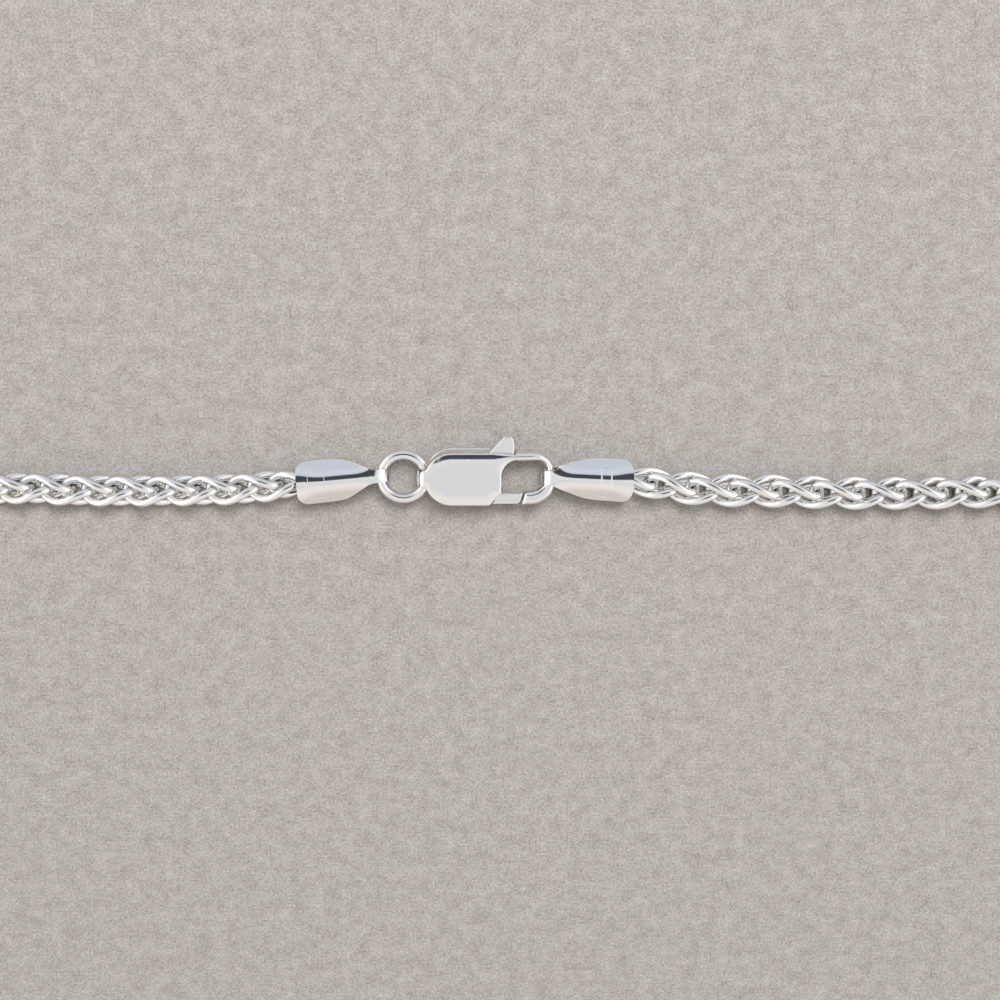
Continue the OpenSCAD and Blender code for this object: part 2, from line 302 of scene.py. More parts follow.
# drawn wire, tumbled: a bright mirror, faintly uneven along each link
wireSilver = silver("wireSilver", "#F7F6F4", roughness=0.1, wear=0.0005, wearScale=0.1,
                    waves=0.002, waveScale=0.5)


def fitPiece(piece, node, body, material, other=None, where=None):
    # where is True for each face that has the other material
    piece.data.materials.clear()
    piece.data.materials.append(material)
    if other:
        piece.data.materials.append(other)
        piece.data.polygons.foreach_set("material_index", where.astype(np.int32))
    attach(piece, body)
    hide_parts(node)


# Clasp body: one casting, two plates that join in the fold at the tail, along the near edge
# and in the hook

clasp = {
    "length": 12.9,          # mm, tail fold to nose
    "width": 5.0,            # mm, over the plates
    "plate": 0.45,           # mm, each plate
    "wall": 0.45,            # mm, the closed near edge
    "nose": 1.6,             # mm, the hook's thickness at the nose
    "noseRound": 2.2,        # mm, rounding of the nose, seen from above
    "shoulder": 3.3,         # mm, from the fold to the middle of the round end beside it
    "bar": 0.9,              # mm, the hook's bar seen from above
    "tail": 1.56,            # mm, width of the tail's fold
    "tailJoin": 0.35,        # mm, softness where the tail meets the plates
    "tailBend": 1.05,        # mm, rounding of the fold, from the side
    "window": 4.1,           # mm, the window's length
    "windowFoot": -1.2,      # mm, its near side from the middle line
    "windowRound": (0.4, 1.45, 0.75, 1.25),   # mm, its corners, from near left counter-clockwise
    "gateEnd": 9.75,         # mm, where the slit between gate and hook lies
    "slit": 0.1,             # mm, its width
    "slitLean": 15,          # degrees
    "plateSlant": 1.1,       # mm, how far the plates' slanted end runs beside the gate
    "gateRoom": 0.4,         # mm, how far the cut for the gate reaches into the window
    "endRim": 0.2,           # mm, rounding of the ends beside the gate
    "slotRim": 0.2,          # mm, rounding of the plates' inner edges
    "rim": 0.14,             # mm, rounding of the plates' rim
    "windowRim": 0.07,       # mm, the same beside the window
    "hookRim": 0.42,         # mm, rounding of the hook
    "rimGrows": (7.2, 9.2),  # mm, where the rim grows round, outside and beside the window
    "windowRimGrows": (8.0, 9.2),
    "fallMost": 0.4,         # mm, how far the plates' faces fall away at most
    "rivet": (5.3, -1.0),    # mm, its place from the fold and the middle line
    "mesh": 0.065,           # mm, grid of the mesh
}
slot = {                     # the room between the plates
    "start": 0.3,            # mm, inner side of the tail's fold
    "ringDoor": 1.9,         # mm, its near side is open as far as this for the ring
    "wallFull": 3.0,         # mm, from here on the near wall has its own thickness
    "wallExtra": 0.35,       # mm, how much thicker the wall is at the ring's door
    "wallRound": 0.6,        # mm
    "gateDoor": 0.8,         # mm, how far the gate's opening reaches back from the window
    "overlap": 0.1,          # mm, how far the slot runs into the window
    "end": 9.17,             # mm, its far side is open as far as this for the thumb tab
}
# where the plates' faces fall away towards their rim: x, width and radius of the fall in mm
fallAlong = np.array([[0, 0.7, 2.2], [0.8, 0.7, 2.2], [2.0, 1.0, 2.4], [7.2, 1.0, 2.4],
                      [8.6, 0.55, 1.1], [14, 0.55, 1.1]])

halfWide = clasp["width"] / 2
windowX1 = clasp["length"] - clasp["bar"]
windowX0 = windowX1 - clasp["window"]
windowY0, windowY1 = clasp["windowFoot"], halfWide - clasp["bar"]
slitY = (windowY0 - halfWide) / 2
slitSlope = math.tan(math.radians(clasp["slitLean"]))
mapLow, mapHigh = (-1.0, -3.6), (14.0, 4.6)      # mm, the maps' corners
over = 4                                         # mm, clear of the clasp's edges


def slitX(y):
    return clasp["gateEnd"] + (y - slitY) * slitSlope


noseX = clasp["length"] - clasp["noseRound"]
noseY = halfWide - clasp["noseRound"]
head = np.concatenate([
    arc(clasp["shoulder"], 0, halfWide, 180, 270), arc(noseX, -noseY, clasp["noseRound"], -90, 0),
    arc(noseX, noseY, clasp["noseRound"], 0, 90), arc(clasp["shoulder"], 0, halfWide, 90, 179)])
tailHalf, tailStart, tailEnd = clasp["tail"] / 2, -0.5, 3
tailStrip = roundedOutline([(tailStart, -tailHalf, 0), (tailEnd, -tailHalf, 0),
                            (tailEnd, tailHalf, 0), (tailStart, tailHalf, 0)])
windowShape = roundedOutline([
    (x, y, radius) for (x, y), radius in zip(
        ((windowX0, windowY0), (windowX1, windowY0), (windowX1, windowY1), (windowX0, windowY1)),
        clasp["windowRound"])])
plateEnd, gateRoomY, below = windowX0 - clasp["plateSlant"], windowY0 + clasp["gateRoom"], -halfWide - 1
gapShape = np.array([
    [plateEnd, -halfWide], [plateEnd, below], [slitX(below) + clasp["slit"], below],
    [slitX(gateRoomY) + clasp["slit"], gateRoomY], [windowX0, gateRoomY], [windowX0, windowY0]])
bend, noseHalf, deep = clasp["tailBend"], clasp["nose"] / 2, 3
sideShape = np.concatenate([
    arc(bend, halfThick - bend, bend, 180, 90),
    [[windowX0, halfThick], [windowX1, noseHalf], [clasp["length"] + 1, noseHalf],
     [clasp["length"] + 1, -deep], [0, -deep]]])
wallY = clasp["wall"] - halfWide
gateDoorX, slotX1 = windowX0 - slot["gateDoor"], windowX0 + slot["overlap"]
slotShape = roundedOutline([
    (slot["start"], -over, 0), (slot["ringDoor"], -over, 0),
    (slot["ringDoor"], wallY + slot["wallExtra"], 0), (slot["wallFull"], wallY, slot["wallRound"]),
    (gateDoorX, wallY, 0), (gateDoorX, -over, 0), (slotX1, -over, 0), (slotX1, 0, 0),
    (slot["end"], 0, 0), (slot["end"], over, 0), (slot["start"], over, 0)])
maps = {name: distanceMap(shape, mapLow, mapHigh) for name, shape in {
    "head": head, "tail": tailStrip, "window": windowShape, "gap": gapShape,
    "side": sideShape, "slot": slotShape}.items()}


def bodyField(p):
    x, y, z = p[..., 0], p[..., 1], np.abs(p[..., 2])
    fromWindow, fromHead = maps["window"](x, y), maps["head"](x, y)
    plan = softJoin(fromHead, maps["tail"](x, y), clasp["tailJoin"])
    plan = np.maximum(plan, -fromWindow)
    plan = roundedMeet(plan, -maps["gap"](x, y), clasp["endRim"])
    width, radius = (np.interp(x, fallAlong[:, 0], fallAlong[:, i]) for i in (1, 2))
    fall = np.maximum(width + plan, 0) ** 2 / 2 / radius
    # the rim grows rounder towards the hook, later beside the window than outside
    rim = np.interp(x, clasp["rimGrows"], [clasp["rim"], clasp["hookRim"]])
    besideWindow = np.interp(x, clasp["windowRimGrows"], [clasp["windowRim"], clasp["hookRim"]])
    outside = smoothStep(fromWindow + fromHead, -0.3, 0.3)
    rim = besideWindow + (rim - besideWindow) * outside
    solid = roundedMeet(plan, maps["side"](x, z) + np.minimum(fall, clasp["fallMost"]), rim)
    hollow = np.maximum(maps["slot"](x, y), z - (halfThick - clasp["plate"]))
    return roundedMeet(solid, -hollow, clasp["slotRim"])


points, faces = surfaceNet(bodyField, (-0.2, -2.8, -1.6), (13.1, 2.8, 1.6), clasp["mesh"])
claspPiece = addMesh("claspBody", points, faces, (tailX, lineY, lineZ), sharp=50)
middles = points[faces].mean(1)
near = 0.02                                      # mm, faces this near the slot belong to it
inSlot = (maps["slot"](middles[:, 0], middles[:, 1]) < near) & (
    np.abs(middles[:, 2]) < halfThick - clasp["plate"] + near)
fitPiece(claspPiece, "clasp_body", "necklace", castSilver, frostedSilver, inSlot)
print("clasp body", len(faces))


# Lever: cast flat, with the thumb tab past the plates' far edge and the gate that shuts the hook

lever = {
    "thickness": 1.86,       # mm
    "rim": 0.14,             # mm, rounding of its edges
    "gateFoot": -2.38,       # mm, the gate's near side from the middle line
    "gateTop": -1.28,        # mm, its side towards the window
    "bore": 0.49,            # mm, radius of its hole for the rivet
    "mesh": 0.055,           # mm, grid of the mesh
}
gateFoot, gateTop = lever["gateFoot"], lever["gateTop"]
# x, y and rounding in mm: the gate, the thumb tab, then the arm round the rivet
leverShape = roundedOutline([
    (windowX0 - 0.9, gateFoot, 0.05), (slitX(gateFoot) - 0.05, gateFoot, 0.45),
    (slitX(gateTop), gateTop, 0.06), (windowX0 - 0.15, gateTop, 0.2), (windowX0 - 0.15, 1.5, 0.4),
    (9.0, 1.8, 0.2), (9.1, 3.3, 0.4), (8.85, 4.05, 0.3), (8.2, 4.05, 0.3), (6.7, 2.38, 0.4),
    (4.2, 2.2, 0.2), (4.0, 1.9, 0.2), (4.5, -0.6, 0.3), (5.3, -1.9, 0.5),
    (windowX0 - 0.7, -1.9, 0.1), (windowX0 - 0.68, -2.09, 0.02)])
leverMap = distanceMap(leverShape, mapLow, mapHigh)
rivetX, rivetY = clasp["rivet"]


def leverField(p):
    x, y, z = p[..., 0], p[..., 1], np.abs(p[..., 2])
    solid = roundedMeet(leverMap(x, y), z - lever["thickness"] / 2, lever["rim"])
    bore = np.hypot(x - rivetX, y - rivetY) - lever["bore"]
    return np.maximum(solid, -bore)


points, faces = surfaceNet(leverField, (3.5, -2.7, -1.1), (10.2, 4.3, 1.1), lever["mesh"])
leverPiece = addMesh("triggerLever", points, faces, (tailX, lineY, lineZ), sharp=50)
middles = points[faces].mean(1)
gateStart, flush = windowX0 - 1.3, lever["thickness"] / 2 - 0.03
onGate = (middles[:, 0] > gateStart) & (middles[:, 1] < 0) & (np.abs(middles[:, 2]) > flush)
fitPiece(leverPiece, "trigger_lever", "lever", castSilver, pittedSilver, onGate)
print("lever", len(faces))


# Rivet: wire pressed through both plates, its ends filed flush and buffed

rivet = {
    "radius": 0.45,          # mm
    "sunk": 0.06,            # mm, its ends are buffed into the plates and don't show
    "bevel": 0.05,           # mm
    "sides": 48,
}
rivetR, bevel, middle = rivet["radius"], rivet["bevel"], 0.001     # almost on the axis
rivetEnd = halfThick - rivet["sunk"]
profile = np.array([[middle, -rivetEnd], [rivetR - bevel, -rivetEnd], [rivetR, bevel - rivetEnd],
                    [rivetR, rivetEnd - bevel], [rivetR - bevel, rivetEnd], [middle, rivetEnd]])
turns = np.radians(np.linspace(0, 360, rivet["sides"], endpoint=False))
heights = np.broadcast_to(profile[:, None, 1], (len(profile), rivet["sides"]))
points = np.stack([profile[:, None, 0] * np.cos(turns), profile[:, None, 0] * np.sin(turns),
                   heights], -1).reshape(-1, 3)
faces = gridFaces(len(profile), rivet["sides"], closedColumns=True)[:, ::-1]
rivetPiece = addMesh("pivotRivet", points, faces, (tailX + rivetX, lineY + rivetY, lineZ), sharp=40)
fitPiece(rivetPiece, "pivot_pin", "necklace", castSilver)
print("rivet")


# Jump ring: thick, slightly oval wire bent round, soldered and tumbled

ring = {
    "outside": 5.1,          # mm, outside diameter
    "width": 0.94,           # mm, wire seen from above
    "height": 1.1,           # mm, wire from the side
    "inside": 0.44,          # mm, from the section's thickest place to its inner side
    "fullness": 2.0,         # 2 is an oval section, more is squarer
    "sides": 56,
    "steps": 160,
}
a = np.radians(np.linspace(0, 360, ring["sides"], endpoint=False))
reachOut = np.where(np.cos(a) > 0, ring["width"] - ring["inside"], ring["inside"])
across = ring["inside"] - ring["width"] / 2 + fuller(np.cos(a), ring["fullness"]) * reachOut
up = ring["height"] / 2 * fuller(np.sin(a), ring["fullness"])
turns = np.radians(np.linspace(0, 360, ring["steps"], endpoint=False))[:, None]
away = (ring["outside"] - ring["width"]) / 2 + across[None, :]
points = np.stack([away * np.cos(turns), away * np.sin(turns),
                   np.broadcast_to(up, (ring["steps"], ring["sides"]))], -1).reshape(-1, 3)
ringMiddle = (ringLow + ringHigh) / 2 / mm
ringPiece = addMesh("jumpRing", points, gridFaces(ring["steps"], ring["sides"], True, True), ringMiddle)
fitPiece(ringPiece, "jump_ring", "necklace", wireSilver)
print("ring")


# End caps: sheet cut to a bow-tie, folded over the ring or hook and curled round the chain

cap = {
    "length": 8.6,           # mm, fold to mouth
    "sheet": 0.2,            # mm, thickness of the sheet
    "width": 4.08,           # mm, over the curled part
    "curl": 1.55,            # mm, radius of the curl
    "flank": 43,             # degrees, slope of the straight flanks beside the curl
    "strip": 1.24,           # mm, width of the fold
    "height": 2.5,           # mm, over the fold
    "bend": 1.2,             # mm, rounding of the fold in height
    "seam": 0.08,            # mm, gap between the two halves
    "edge": 0.05,            # mm, softness of the cut edges
    "curlGrows": (0.02, 0.36),   # shares of the length, from flat strip to full curl
    "curlOpens": (0.7, 0.4),     # share of the length where the curl eases, and its loss there
    "turnFades": (0.12, 0.42),   # shares of the length, between the leans at fold and mouth
    "columns": 45,           # of the mesh, across the sheet
    "rows": 60,              # along it, and more at the bend and the mouth
    "bendRows": 11,
    "mouthRows": 16,
    "left": {
        "spot": (-9.03, 76.2),   # mm, the fold's place on the board
        "turn": 185.5,           # degrees about z
        "lean": (6, 10),         # degrees about the cap's length, at the mouth and at the fold
        "bend": 1.9,             # mm, rounding of the fold along the cap
        "mouth": (1.05, 0.95),   # mm, rounding of the mouth's corners, along and across
        "flare": [[0, 0], [0.17, 0], [0.2, 0.03], [0.24, 0.11], [0.31, 0.345], [0.38, 0.59],
                  [0.45, 0.83], [0.5, 0.92], [0.6, 0.98], [0.72, 1], [1, 1]],
    },
    "right": {
        "spot": (4.98, 76.06),
        "turn": -2.8,
        "lean": (-7, -5),
        "bend": 1.5,
        "mouth": (0.95, 1.5),
        "flare": [[0, 0], [0.1, 0.02], [0.15, 0.12], [0.2, 0.26], [0.27, 0.44], [0.36, 0.66],
                  [0.45, 0.84], [0.52, 0.93], [0.62, 0.98], [0.75, 1], [1, 1]],
    },
}
# A flare gives the sheet's width from fold to mouth, and this table its height, both as shares.
riseAlong = np.array([[0, 0.0], [0.15, 0.02], [0.3, 0.45], [0.45, 0.85], [0.58, 1], [1, 1]])


def smoothTable(table, x, blur=0.03):
    # reads a table with its corners softened
    shifts = np.linspace(-blur, blur, 9)
    return np.mean([np.interp(x + shift, table[:, 0], table[:, 1]) for shift in shifts], 0)


def capSection(curve, half, columns, step=0.01, most=3.4, blend=25):
    # half widths and drops of a section: a curl that goes on as a straight flank
    s = np.linspace(0, most, round(most / step) + 1)
    slope = np.minimum(s * curve, math.radians(cap["flank"]))
    window = np.ones(2 * blend + 1) / (2 * blend + 1)
    slope = np.convolve(np.pad(slope, blend, "reflect", reflect_type="odd"), window, "valid")
    y = np.concatenate([[0], np.cumsum(np.cos(slope[1:]) * step)])
    drop = np.concatenate([[0], np.cumsum(np.sin(slope[1:]) * step)])
    reach = np.interp(half, y, s) * np.abs(columns)
    return np.sign(columns) * np.interp(reach, s, y), np.interp(reach, s, drop)


def capSkin(side):
    # the sheet's outer face, rows from one mouth round the fold to the other
    length, strip, wide = cap["length"], cap["strip"] / 2, cap["width"] / 2
    tip, bendUp, bendR = cap["height"] / 2, cap["bend"], side["bend"]
    mouth, mouthWide = side["mouth"]
    columns = np.linspace(-1, 1, cap["columns"])
    full = capSection(1 / cap["curl"], wide, columns)[1].max() + cap["seam"] / 2
    arcs = np.radians(np.linspace(180, 90, cap["bendRows"]))
    corner = np.radians(np.linspace(0, 90, cap["mouthRows"] + 1))[1:]
    along = np.concatenate([np.linspace(bendR, length - mouth, cap["rows"])[1:],
                            length - mouth + mouth * np.sin(corner)])
    x = np.concatenate([[0, 0], bendR + bendR * np.cos(arcs), along])
    z = np.concatenate([[0, (tip - bendUp) / 2], tip - bendUp + bendUp * np.sin(arcs),
                        tip + smoothTable(riseAlong, along / length) * (full - tip)])
    half = strip + smoothTable(np.array(side["flare"]), x / length) * (wide - strip)
    half[-len(corner):] -= mouthWide * (1 - np.cos(corner))
    grows, (opensAt, opens) = cap["curlGrows"], cap["curlOpens"]
    curve = (smoothStep(x, grows[0] * length, grows[1] * length)
             * (1 - opens * smoothStep(x, opensAt * length, length)) / cap["curl"])
    rows = []
    for i in range(len(x)):
        y, drop = capSection(curve[i], half[i], columns)
        rows.append(np.stack([np.full(len(columns), x[i]), y, z[i] - drop], -1))
    upper = np.array(rows)
    skin = np.concatenate([upper[1:][::-1] * np.array([1, 1, -1]), upper])
    atFold = 1 - smoothStep(skin[:, :, 0], cap["turnFades"][0] * length, cap["turnFades"][1] * length)
    atMouth, fold = side["lean"]
    turned = np.radians(atMouth + (fold - atMouth) * atFold)
    y, z = skin[:, :, 1].copy(), skin[:, :, 2].copy()
    skin[:, :, 1] = y * np.cos(turned) - z * np.sin(turned)
    skin[:, :, 2] = y * np.sin(turned) + z * np.cos(turned)
    return skin


def sheetMesh(skin, thick, edge):
    # gives a sheet its thickness inwards, with soft edges all round
    normal = unit(np.cross(np.gradient(skin, axis=0), np.gradient(skin, axis=1)))
    if (normal[:, :, 2] * skin[:, :, 2]).sum() < 0:
        normal = -normal
    short = 0.29                                 # of the edge's rounding, at 45 degrees
    ends = []
    for column, beside in ((-1, -2), (0, 1)):
        out = unit(skin[:, column] - skin[:, beside])
        n = normal[:, column]
        ends.append([skin[:, column] - out * o * edge - n * d for o, d in (
            (1, 0), (short, short * edge), (0, edge), (0, thick - edge),
            (short, thick - short * edge), (1, thick))])
    inner = skin - normal * thick
    right, left = ends
    loop = np.concatenate([skin[:, 1:-1], np.stack(right, 1), inner[:, -2:0:-1],
                           np.stack(left[::-1], 1)], 1)
    columns, count = skin.shape[1], loop.shape[1]
    # each point's partner across the sheet
    partner = (2 * (columns - 2) + 5 - np.arange(count)) % count
    middle = (loop + loop[:, partner]) / 2
    rows = []
    for row, beside in ((0, 1), (-1, -2)):
        out = unit(loop[row] - loop[beside])
        rows.append([loop[row] - out * o * edge + (middle[row] - loop[row]) * pull
                     for o, pull in ((1, 0), (short, 2 * short * edge / thick), (0, 2 * edge / thick))])
    loop = np.concatenate([np.array(rows[0][::-1]), loop[1:-1], np.array(rows[1])])
    # quads between partners close the sheet at both mouths
    k = np.arange(columns + 1) + count - 3
    k, after = k % count, (k + 1) % count
    closing = np.stack([k, after, partner[after], partner[k]], -1)
    faces = [gridFaces(len(loop), count, closedColumns=True), closing[:, ::-1],
             closing + (len(loop) - 1) * count]
    return loop.reshape(-1, 3), np.concatenate(faces)


def capPiece(name, side, node, material):
    points, faces = sheetMesh(capSkin(side), cap["sheet"], cap["edge"])
    piece = addMesh(name, points, faces, (*side["spot"], lineZ), side["turn"], sharp=60,
                    flat=points[:, :2])
    fitPiece(piece, node, "necklace", material)


capPiece("endCapLeft", cap["left"], "end_cap_left", sheetSilverLeft)
capPiece("endCapRight", cap["right"], "end_cap_right", sheetSilverRight)
print("caps")


# Wheat chain: twisted oval wire links in two families that pass through each other

wheat = {
    "pitch": 3.869,          # mm, from one link to the next of its family
    "start": 0.45,           # mm, where the first link begins
    "wire": 0.76,            # mm
    "spread": 1.25,          # mm, half width of a link's centre line
    "fullness": 2.3,         # 2 is an oval link, more is straighter sided
    "inside": 3.0,           # mm, chain inside each cap
    "lift": 0.2,             # mm, how much the caps hold the chain up
    "pinch": 0.22,           # share of the width that the links lose inside a cap
    "sway": 1.2,             # degrees, how unevenly the links lie
    "segments": 48,
    "sides": 12,
}
# the chain's way over the board, from the left cap round to the right one, in mm
chainRoute = np.array([
    [-23, 74.8, 0.1], [-30, 74.6, 0], [-37, 74.6, 0], [-44, 74.8, 0], [-51, 74, 0],
    [-57.5, 70.8, 0], [-64, 64, 0], [-68.7, 54, 0], [-71, 41, 0], [-71.5, 27, 0],
    [-71.3, 12, 0], [-69.5, -4, 0], [-66, -20, 0], [-60, -36, 0], [-51, -51, 0],
    [-38.5, -65, 0], [-22, -75.3, 0], [0, -80, 0], [22, -75.8, 0], [38.5, -65.5, 0],
    [51, -52, 0], [60.5, -37, 0], [66.5, -21, 0], [70, -5, 0], [71.5, 11, 0],
    [71.8, 26, 0], [71, 40, 0], [69, 52, 0], [65, 62, 0], [59.5, 69.3, 0],
    [53.5, 73.2, 0], [47.5, 74.4, 0], [41, 74.4, 0], [34, 74.4, 0], [27, 74.6, 0],
    [20, 74.8, 0.1]])


def capAxis(side, depth):
    # a point of a cap's axis, counted from its fold
    x, y = side["spot"]
    turn = math.radians(side["turn"])
    return [x + depth * math.cos(turn), y + depth * math.sin(turn), wheat["lift"]]


def throughPoints(points, steps=60):
    # a smooth line through the points, that many steps from one to the next
    padded = np.concatenate([[2 * points[0] - points[1]], points, [2 * points[-1] - points[-2]]])
    t = np.linspace(0, 1, steps, endpoint=False)[:, None]
    line = [0.5 * (2 * p1 + (p2 - p0) * t + (2 * p0 - 5 * p1 + 4 * p2 - p3) * t * t
                   + (3 * p1 - p0 - 3 * p2 + p3) * t ** 3)
            for p0, p1, p2, p3 in zip(padded, padded[1:], padded[2:], padded[3:])]
    return np.concatenate(line + [points[-1:]])


fromCap, mouthAt = wheat["inside"], cap["length"]
route = np.array([capAxis(cap["left"], mouthAt - fromCap), capAxis(cap["left"], mouthAt), *chainRoute,
                  capAxis(cap["right"], mouthAt), capAxis(cap["right"], mouthAt - fromCap)])
spline = throughPoints(route[::-1])
travel = np.concatenate([[0], np.cumsum(np.linalg.norm(np.diff(spline, axis=0), axis=1))])
total = travel[-1]
lowest = travel[np.argmin(spline[:, 1])]         # where the two halves of the chain meet

pitch, wire, spread = wheat["pitch"], wheat["wire"], wheat["spread"]
reach = (pitch + wire) / 2
# how the chain rolls along its way: mm from the right cap, degrees from the photo's view
rollTable = np.array([[0, -40], [fromCap, -40], [fromCap + 8, -38], [fromCap + 20, -32],
                      [fromCap + 34, -20], [fromCap + 60, -8], [fromCap + 100, 0],
                      [total - 110, 0], [total - 10, -8], [total, -8]])


def rollAt(s):
    return np.interp(s, rollTable[:, 0], rollTable[:, 1]) + viewLean


def linkOutline():
    # the flat link's outline, x from -1 to 1 and width from -1 to 1, in equal steps
    a = np.linspace(0, 2 * np.pi, 2001)
    x, y = fuller(np.cos(a), wheat["fullness"]), fuller(np.sin(a), wheat["fullness"])
    way = np.concatenate([[0], np.cumsum(np.hypot(np.diff(x) * reach, np.diff(y) * spread))])
    even = np.linspace(0, way[-1], wheat["segments"], endpoint=False)
    return np.interp(even, way, x), np.interp(even, way, y)


linkX, linkY = linkOutline()


def linkTwist(family):
    # a quarter turn from end to end, quicker in the middle
    lean = math.pi / 4 * (1 - (linkX + np.sin(np.pi / 2 * linkX)) / 2)
    return lean if family == 0 else -lean


def restHeight(roll):
    # how far the axis lies above the surface when the links' lowest wire touches it
    lows = []
    for family in (0, 1):
        theta = linkTwist(family) + np.radians(roll)[:, None]
        lows.append((spread * linkY * np.cos(theta)).min(1))
    return -np.minimum(*lows) + wire / 2


sample = np.linspace(0, total, int(total / 0.5) + 1)      # a point each half millimetre
centreLine = np.stack([np.interp(sample, travel, spline[:, i]) for i in range(3)], -1)
centreLine[:, 2] += restHeight(rollAt(sample))


def pointAt(s):
    return np.stack([np.interp(s, sample, centreLine[:, i]) for i in range(3)], -1)


def chainFrame(s, step=0.8):
    # the axis there, and the directions to its left and up
    forward = unit(pointAt(s + step) - pointAt(s - step))
    left = unit(np.cross([0, 0, 1.0], forward))
    return pointAt(s), left, np.cross(forward, left)


def linkMesh(middles, family, random):
    count = len(middles)
    tilt = np.radians(random.normal(0, wheat["sway"], (count, 1)))
    theta = linkTwist(family)[None, :] + np.radians(rollAt(middles))[:, None] + tilt
    s = middles[:, None] + reach * linkX[None, :]
    at, left, up = chainFrame(s)
    free = np.minimum(smoothStep(s, fromCap - 1, fromCap + 4),
                      smoothStep(total - s, fromCap - 1, fromCap + 4))
    width = free * wheat["pinch"] + 1 - wheat["pinch"]
    rho = (spread * linkY)[None, :, None] * width[..., None]

    def radial(angle):
        return np.cos(angle)[..., None] * up + np.sin(angle)[..., None] * left
    line = at + rho * radial(theta)
    tangent = unit(np.roll(line, -1, 1) - np.roll(line, 1, 1))
    side = radial(theta + np.pi / 2)
    side = unit(side - (side * tangent).sum(-1, keepdims=True) * tangent)
    other = np.cross(tangent, side)
    a = np.linspace(0, 2 * np.pi, wheat["sides"], endpoint=False)[None, None, :, None]
    points = line[:, :, None] + wire / 2 * (np.cos(a) * side[:, :, None] + np.sin(a) * other[:, :, None])
    single = gridFaces(wheat["segments"], wheat["sides"], True, True)
    size = wheat["segments"] * wheat["sides"]
    faces = (single[None] + size * np.arange(count)[:, None, None]).reshape(-1, 4)
    return points.reshape(-1, 3), faces


def chainPiece(name, node, low, high, seed):
    random = np.random.default_rng(seed)
    points, faces, start = [], [], 0
    for family in (0, 1):
        middles = np.arange(reach + wheat["start"] + family * pitch / 2, total - reach, pitch)
        middles = middles[(middles >= low) & (middles < high)]
        linkPoints, linkFaces = linkMesh(middles, family, random)
        points.append(linkPoints)
        faces.append(linkFaces + start)
        start += len(linkPoints)
    piece = addMesh(name, np.concatenate(points), np.concatenate(faces))
    fitPiece(piece, node, "necklace", wireSilver)
    print(name, "triangles", 2 * sum(len(f) for f in faces))


chainPiece("wheatChainRight", "chain_right", 0, lowest, 11)
chainPiece("wheatChainLeft", "chain_left", lowest, total, 12)


# Floor: a board covered with plain pale cloth, its short even nap drawn as coarse as it needs
# to show. It gives a matte, faintly grainy ground that takes soft shadows.

board = {
    "half": 1500.0,          # mm, half its side
    "drop": 0.01,            # mm, how far it lies below the chain
    "nap": 1.6,              # mm, tufts of the nap
    "specks": 0.2,           # mm, single fibres
    "shade": "#605A53",
    "cloth": "#88827A",
}


def paleCloth():
    material, tree, shader = newMaterial("paleCloth")
    spot = addNode(tree, "TexCoord").outputs["Object"]
    nap = addNode(tree, "TexNoise", Vector=spot, Scale=1000 / board["nap"], Detail=5.0, Roughness=0.9)
    specks = addNode(tree, "TexNoise", Vector=spot, Scale=1000 / board["specks"], Detail=2.0, Roughness=0.8)
    both = addNode(tree, "Math", {"operation": "ADD"}, i0=nap.outputs["Fac"], i1=specks.outputs["Fac"])
    spread = addNode(tree, "MapRange", Value=both.outputs[0], From_Min=0.7, From_Max=1.3)
    tone = addNode(tree, "ValToRGB", Fac=spread.outputs["Result"])
    tone.color_ramp.elements[0].color = linear(board["shade"])
    tone.color_ramp.elements[1].color = linear(board["cloth"])
    tree.links.new(tone.outputs["Color"], shader.inputs["Base Color"])
    shader.inputs["Roughness"].default_value = 0.9
    shader.inputs["Specular IOR Level"].default_value = 0.1
    shader.inputs["Sheen Weight"].default_value = 0.6
    shader.inputs["Sheen Roughness"].default_value = 0.3
    uneven = addNode(tree, "Bump", Height=nap.outputs["Fac"], Strength=1.0, Distance=0.05 * mm)
    tree.links.new(uneven.outputs["Normal"], shader.inputs["Normal"])
    return material


corners = [[x * board["half"], y * board["half"], 0] for x, y in ((-1, -1), (1, -1), (1, 1), (-1, 1))]
floor = addMesh("floor", corners, [[0, 1, 2, 3]], (0, 0, -board["drop"]))
floor.data.materials.append(paleCloth())


# Light: a pale room all round, brighter to the sides, with one dark patch above that gives
# the silver its thin dark lines

room = {
    "stops": [(-90, "#D3CBC3"), (-70, "#E3DDD6"), (-45, "#F0ECE7"), (-25, "#ECEAE8"),
              (-15, "#DCDDE2"), (0, "#E3E4E6"), (11, "#E6E8EB"), (36, "#C9D0DE"),
              (60, "#D5DBE6"), (90, "#C8CFDC")],      # degrees north of straight up, and colour
    "sides": (1.25, 1.25, 1.27, 1),                   # linear, brighter than white
    "sidesFrom": (0.45, 0.85),                        # how far sideways, 1 is the horizon
    "patch": (0.055, 0.06, 0.075, 1),                 # linear
    "patchStarts": (7.5, 11.5),                       # degrees north of straight up
    "patchEnds": (35, 41),
    "patchSides": (0.26, 0.42),                       # how far sideways it fades
}
world = bpy.data.worlds.new("softRoom")
bpy.context.scene.world = world
world.use_nodes = True
skyTree = world.node_tree
direction = addNode(skyTree, "TexCoord").outputs["Generated"]
parts = addNode(skyTree, "SeparateXYZ", Vector=direction).outputs
north = addNode(skyTree, "Math", {"operation": "ARCTAN2"}, i0=parts["Y"], i1=parts["Z"]).outputs[0]
sideways = addNode(skyTree, "Math", {"operation": "ABSOLUTE"}, i0=parts["X"]).outputs[0]


def ease(value, low, high, start=0.0, end=1.0):
    return addNode(skyTree, "MapRange", {"interpolation_type": "SMOOTHSTEP"}, Value=value,
                   From_Min=low, From_Max=high, To_Min=start, To_Max=end).outputs["Result"]


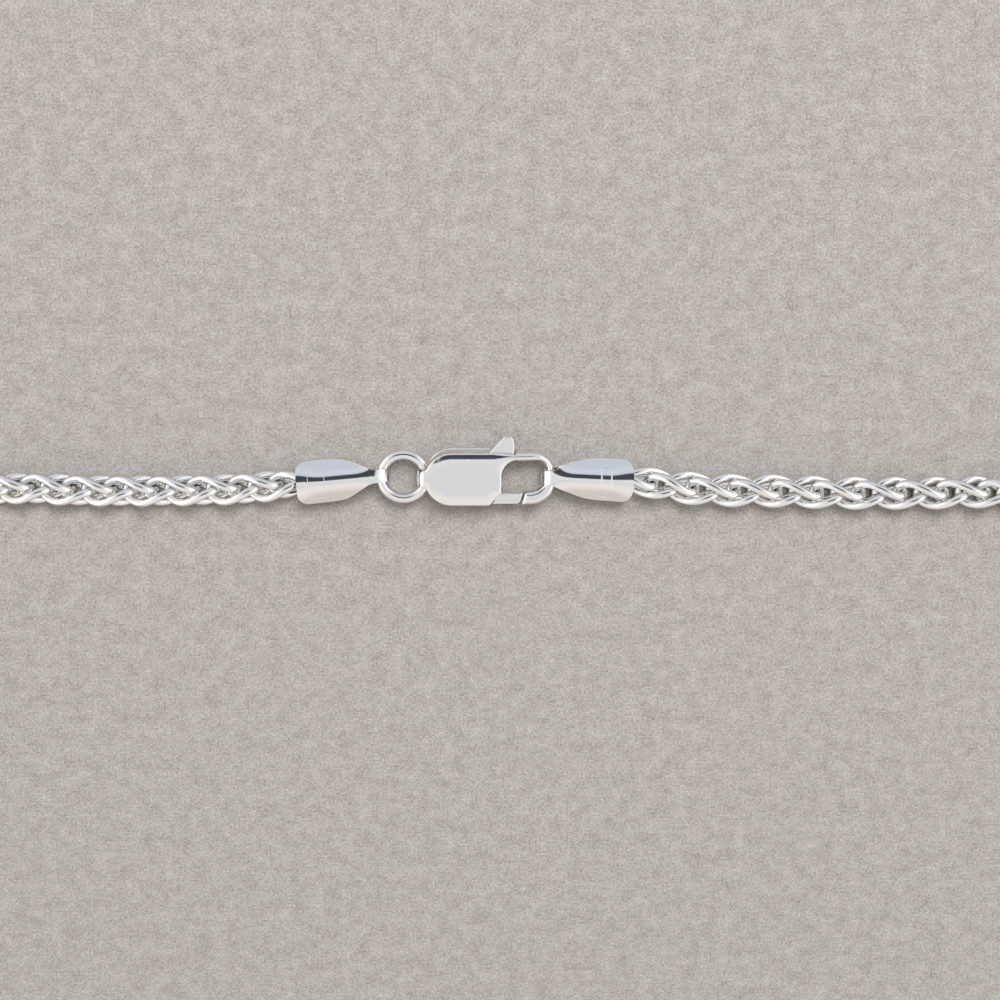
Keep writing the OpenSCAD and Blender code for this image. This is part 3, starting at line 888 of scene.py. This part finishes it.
def times(a, b):
    return addNode(skyTree, "Math", {"operation": "MULTIPLY"}, i0=a, i1=b).outputs[0]


def mix(factor, a, b):
    return addNode(skyTree, "Mix", {"data_type": "RGBA"}, Factor=factor, i6=a, i7=b).outputs[2]


fromSouth = addNode(skyTree, "MapRange", Value=north, From_Min=-math.pi / 2, From_Max=math.pi / 2)
ramp = addNode(skyTree, "ValToRGB", Fac=fromSouth.outputs["Result"])
elements = ramp.color_ramp.elements
for i, (angle, colour) in enumerate(room["stops"]):
    position = (angle + 90) / 180
    element = elements[i] if i in (0, 1) else elements.new(position)
    element.position = position
    element.color = linear(colour)
sky = mix(ease(sideways, *room["sidesFrom"]), ramp.outputs["Color"], room["sides"])
patchStarts = [math.radians(angle) for angle in room["patchStarts"]]
patchEnds = [math.radians(angle) for angle in room["patchEnds"]]
dark = times(times(ease(north, *patchStarts), ease(north, *patchEnds, 1.0, 0.0)),
             ease(sideways, *room["patchSides"], 1.0, 0.0))
sky = mix(dark, sky, room["patch"])
skyTree.links.new(sky, skyTree.nodes["Background"].inputs["Color"])
skyTree.nodes["Background"].inputs["Strength"].default_value = 1.0

# Two lamps light the floor and the frosted metal: one from the north for the soft shadow, and
# one from above that fills it. Polished silver doesn't mirror them. Places and sizes in metres.
lamps = {
    "northLight": {"spot": (0.12, 0.57, 0.85), "size": 0.4, "power": 20.2, "colour": "#EEF3FF"},
    "fillLight": {"spot": (0, 0.28, 0.88), "size": 0.12, "power": 4.3, "colour": "#F4F6FF"},
}
lampAim = (0, 0.07, 0)


def areaLight(name, spot, size, power, colour):
    light = bpy.data.lights.new(name, "AREA")
    light.shape = "DISK"
    light.size = size
    light.energy = power
    light.color = linear(colour)[:3]
    lamp = bpy.data.objects.new(name, light)
    bpy.context.scene.collection.objects.link(lamp)
    lamp.location = spot
    x, y, z = np.array(lampAim, float) - np.array(spot, float)
    lamp.rotation_euler = (math.acos(-z / math.hypot(x, y, z)), 0, math.atan2(y, x) - math.pi / 2)
    lamp.visible_glossy = False


for name, lamp in lamps.items():
    areaLight(name, **lamp)
print("light")


# Camera: the photo's close view from above, leaning a little

view = {
    "lens": 85,                              # mm
    "sensor": 36,                            # mm
    "aim": (0.00121, 0.0738, 0.002),         # m
    "distance": 0.2194,                      # m
}
camera = bpy.data.objects.new("camera", bpy.data.cameras.new("camera"))
bpy.context.scene.collection.objects.link(camera)
bpy.context.scene.camera = camera
camera.data.lens = view["lens"]
camera.data.sensor_width = view["sensor"]
camera.data.clip_start = 0.005
lean = math.radians(viewLean)
aimX, aimY, aimZ = view["aim"]
camera.location = (aimX, aimY + view["distance"] * math.sin(lean), aimZ + view["distance"] * math.cos(lean))
camera.rotation_euler = (-lean, 0, 0)
